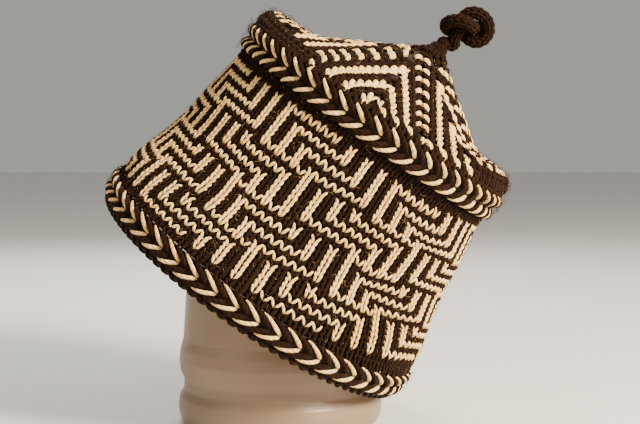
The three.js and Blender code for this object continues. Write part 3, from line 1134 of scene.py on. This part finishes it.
def crown_back(material):
    ways = np.linspace(CROWN_BACK_START, CROWN_END, CROWN_BACK_ROWS)
    angles = np.arange(CROWN_BACK_COLUMNS) / CROWN_BACK_COLUMNS * TURN
    # Dark outer face: painted shade in the gaps between the crown's stitches.
    front = [crown_point(angles, way, CROWN_BACK_DEPTH) for way in ways]
    back = [
        crown_point(angles, way, -WALL + CROWN_BACK_RIDGE * (i % 2))
        for i, way in enumerate(ways[:-CROWN_BACK_OPEN])
    ]
    dark_shell("crown_back", front + back[::-1], material, "crown")


# Loose fibres


def fibres(name, place, low, high, kind, material, node, slot, reach=FIBRE_REACH):
    """Fine fibres that stand out of the knit, between the corners low and high of a patch."""
    count, length = kind
    t = np.linspace(0, 1, FIBRE_STEPS)
    a = rng.uniform(low[0], high[0], (count, 1))
    b = rng.uniform(low[1], high[1], (count, 1))
    turn, bend = rng.uniform(0, TURN, (count, 1)), rng.normal(0, FIBRE_BEND, (count, 1))
    size = length * rng.uniform(*FIBRE_LENGTHS, (count, 1))
    foot, side = place(a, b, reach + 0 * a), place(a + FIBRE_PROBE, b, reach + 0 * a)
    normal = outward(place, a, b, reach + 0 * a)
    first = unit(side - foot)
    second = np.cross(normal, first)
    angle = turn + bend * t
    run = np.cumsum(size / FIBRE_STEPS * np.ones_like(t), axis=1)[..., None]
    flat = np.cos(angle)[..., None] * first + np.sin(angle)[..., None] * second
    rise = np.sin(t * math.pi * FIBRE_ARCH)[None, :, None] * size[..., None] * FIBRE_RISE
    lines = foot + flat * run + normal * (rise - FIBRE_SUNK)
    wide = FIBRE_RADIUS * (FIBRE_TAPER - t)
    normals = np.broadcast_to(normal, lines.shape)
    strand_piece(name, lines, normals, wide, wide, FIBRE_SIDES, material, node, slot)


def fuzz(cream_wool, dark_wool):
    def band_place(column, height, out):
        return ring_point(column / STITCHES * TURN, height, out)

    wall = (wall_point, (0, LOW_BAND[0]), (STITCHES, HIGH_BAND[1]))
    top = crown_place(STITCHES)
    crown = (top, (0, CROWN_FIBRE_WAYS[0]), (STITCHES, CROWN_FIBRE_WAYS[1]))
    rim = (top, (0, RIM_FIBRE_WAYS[0]), (STITCHES, RIM_FIBRE_WAYS[1]))
    for name, patch, kind, node in (
        ("wall_fibres_cream", wall, WALL_FIBRES_CREAM, "side_wall"),
        ("wall_fibres_dark", wall, WALL_FIBRES_DARK, "side_wall"),
        ("crown_fibres_cream", crown, CROWN_FIBRES_CREAM, "crown"),
        ("crown_fibres_dark", crown, CROWN_FIBRES_DARK, "crown"),
        ("rim_fibres_dark", rim, RIM_FIBRES, "crown"),
    ):
        cream = name.endswith("cream")
        fibres(name, *patch, kind, cream_wool if cream else dark_wool, node,
               "wool_cream" if cream else "wool_dark")
    for node, band in (("brim_braid", BRIM_BRAID), ("crown_braid", CROWN_BRAID)):
        patch = (band_place, (0, band["from"]), (STITCHES, band["to"]))
        fibres(node + "_fibres", *patch, BRAID_FIBRES, dark_wool, node, "wool_dark", band["bulge"])


# Cord


def cord_path():
    """Centre line of the cord: a stem, then three lobes woven over and under."""
    shift = CROWN_SECTIONS[-1, 5]
    stem = [seat(np.array([shift, 0.0, APEX_HEIGHT + length])) for length in STEM_LENGTHS]
    i = np.arange(KNOT_POINTS + 1)
    t = -KNOT_CUT - i / KNOT_POINTS * (TURN - 2 * KNOT_CUT)
    around = 2 * t - TURN / 4
    reach = KNOT_RING + KNOT_WEAVE * np.cos(3 * t)
    depth, rise = KNOT_DEPTH * np.sin(3 * t), reach * np.sin(around)
    c, s = math.cos(math.radians(KNOT_TILT)), math.sin(math.radians(KNOT_TILT))
    ring = np.stack([reach * np.cos(around), depth * c - rise * s, depth * s + rise * c], -1)
    points = np.concatenate([stem, ring + np.array(KNOT_FROM_TUB) + AXIS])
    way = np.concatenate([[0.0], np.cumsum(np.linalg.norm(np.diff(points, axis=0), axis=1))])
    table = np.column_stack([way, points])
    at = np.linspace(0, way[-1], int(way[-1] / CORD_STEP) + 1)
    return smooth_table(at, table, 0)[:, 1:], at


def carried_frames(path):
    """Two directions square to the path that turn as little as they can along it."""
    along = unit(np.gradient(path, axis=0))
    first = np.cross(along[0], (0.0, 1.0, 0.0))
    rows = [first / np.linalg.norm(first)]
    for direction in along[1:]:
        carried = rows[-1] - direction * np.dot(rows[-1], direction)
        rows.append(carried / np.linalg.norm(carried))
    across = np.array(rows)
    return across, np.cross(along, across)


def knit_cord(dark_wool):
    path, way = cord_path()
    across, up = carried_frames(path)
    table = np.column_stack([way, path, across, up])

    def place(column, at, out):
        column, at, out = np.broadcast_arrays(column, at, out)
        here = smooth_table(np.clip(at, 0, way[-1]), table, 0)
        centre, first, second = here[..., 1:4], here[..., 4:7], here[..., 7:10]
        turn = (column / CORD_COLUMNS * TURN)[..., None]
        spoke = np.cos(turn) * first + np.sin(turn) * second
        return centre + (CORD_RADIUS + out)[..., None] * spoke

    rounds = int((way[-1] - CORD_END) / CORD_ROUND)
    rows, columns = np.mgrid[0:rounds, 0:CORD_COLUMNS]
    bottoms = rows.ravel() * CORD_ROUND + CORD_START
    lines, normals = leg_lines(place, columns.ravel(), bottoms, CORD_ROUND, CORD_SPLAY, CORD_OUT)
    stitch_piece("knot_stitches", lines, normals, CORD_YARN, dark_wool, "top_knot", "wool_dark")
    patch = (place, (0, KNOT_FIBRE_END), (CORD_COLUMNS, way[-1] - KNOT_FIBRE_END))
    fibres("knot_fibres", *patch, KNOT_FIBRES, dark_wool, "top_knot", "wool_dark",
           KNOT_FIBRE_REACH)
    past, length, least = CORE_TIP
    taper = np.minimum(1.0, np.sqrt(np.clip((way[-1] - way[::2] + past) / length, least, 1)))
    wide = CORE_RADIUS * taper
    strand_piece("knot_core", path[None, ::2], across[None, ::2], wide, wide, CORE_SIDES,
                 dark_wool, "top_knot", "wool_dark")


# Tub


def rounded(profile):
    """Profile with its corners cut round."""
    made = [profile[0]]
    for before, corner, after in zip(profile, profile[1:], profile[2:]):
        a, b = before - corner, after - corner
        cut = min(TUB_ROUNDING, TUB_CUT * np.linalg.norm(a), TUB_CUT * np.linalg.norm(b))
        start, end = corner + unit(a) * cut, corner + unit(b) * cut
        for s in TUB_ARC:
            made.append(start * (1 - s) ** 2 + corner * 2 * s * (1 - s) + end * s**2)
    made.append(profile[-1])
    return np.array(made)


def tub_profile():
    """Radius and height from the middle of the top, down inside, and up outside."""
    outside = [np.array([r, h], float) for h, r in TUB_SECTIONS]
    inside = [
        np.array([r - TUB_WALL, h - (TUB_WALL if h > TUB_SHOULDER else 0)], float)
        for h, r in TUB_SECTIONS[FIRST_INNER_ROW:]
    ]
    lip = TUB_SECTIONS[0][1] - TUB_LIP
    top = TUB_SECTIONS[-1][0]
    return rounded([
        np.array([TUB_MIDDLE, top - TUB_WALL]),
        *inside[::-1],
        np.array([lip, LIP_DEPTH], float),
        np.array([lip, 0.0]),
        *outside,
        np.array([TUB_MIDDLE, top], float),
    ])


def tub_shell(material):
    profile = tub_profile()
    angles = np.arange(TUB_SEGMENTS) / TUB_SEGMENTS * TURN
    ribs = TUB_RIB_DEPTH * np.cos(angles * TUB_RIBS)
    low, high = TUB_RIB_HEIGHTS
    loops = []
    for radius, height in profile:
        rib = ribs if radius > TUB_RIB_RADIUS and low < height < high else 0 * angles
        loops.append(np.stack([
            (radius + rib) * np.cos(angles),
            (radius + rib) * np.sin(angles),
            height + 0 * angles,
        ], -1) + AXIS)
    shell_piece("tub_shell", np.array(loops), material, "stand_tub", "tub_plastic")


# Stage


def flat_material(name, colour, roughness):
    material, tree, shader = material_base(name)
    shader.inputs["Base Color"].default_value = (*colour, 1.0)
    shader.inputs["Roughness"].default_value = roughness
    return material


def make_floor():
    mesh = bpy.data.meshes.new("floor")
    side = FLOOR_SIDE
    corners = [(-side, -side, 0), (side, -side, 0), (side, side, 0), (-side, side, 0)]
    mesh.from_pydata(corners, [], [(0, 1, 2, 3)])
    mesh.materials.append(flat_material("floor_pale", FLOOR_COLOUR, FLOOR_ROUGHNESS))
    floor = bpy.data.objects.new("floor", mesh)
    bpy.context.scene.collection.objects.link(floor)


def make_light(name, place, target, size, power, colour):
    data = bpy.data.lights.new(name, "AREA")
    data.shape = "DISK"
    data.size = size
    data.energy = power
    data.color = colour
    light = bpy.data.objects.new(name, data)
    light.location = place
    light.rotation_euler = (Vector(target) - Vector(place)).to_track_quat("-Z", "Y").to_euler()
    bpy.context.scene.collection.objects.link(light)


def make_world():
    world = bpy.data.worlds.new("studio")
    bpy.context.scene.world = world
    world.use_nodes = True
    back = world.node_tree.nodes["Background"]
    back.inputs["Color"].default_value = (*WORLD_COLOUR, 1.0)
    back.inputs["Strength"].default_value = WORLD_STRENGTH


def make_camera():
    data = bpy.data.cameras.new("camera")
    data.sensor_width = SENSOR
    data.lens = CAMERA_FOCUS / IMAGE_WIDTH * SENSOR
    data.clip_start, data.clip_end = CAMERA_CLIP
    camera = bpy.data.objects.new("camera", data)
    camera.location = [c * MM for c in CAMERA_PLACE]
    camera.rotation_euler = (math.radians(90 + CAMERA_PITCH), 0, 0)
    bpy.context.scene.collection.objects.link(camera)
    bpy.context.scene.camera = camera


def build():
    make_camera()
    cream_wool = wool("wool_cream_yarn", CREAM_STOPS, *CREAM_SHEEN)
    dark_wool = wool("wool_dark_yarn", DARK_STOPS, *DARK_SHEEN)
    back = wrong_side_and_shade_wool("wool_wrong_side_and_painted_shade")
    knit_wall(cream_wool, dark_wool)
    knit_bands(dark_wool)
    wall_back(back)
    knit_braid("brim_braid", BRIM_BRAID, cream_wool, dark_wool)
    knit_braid("crown_braid", CROWN_BRAID, cream_wool, dark_wool)
    braid_back("brim_braid", BRIM_BRAID, back)
    braid_back("crown_braid", CROWN_BRAID, back)
    knit_edge(dark_wool)
    edge_core(back)
    knit_crown(cream_wool, dark_wool)
    knit_roll(dark_wool)
    knit_collar(dark_wool)
    crown_back(back)
    fuzz(cream_wool, dark_wool)
    knit_cord(dark_wool)
    tub_shell(tub_plastic("tub_milky_plastic"))
    make_floor()
    for light in LIGHTS:
        make_light(*light)
    make_world()


build()
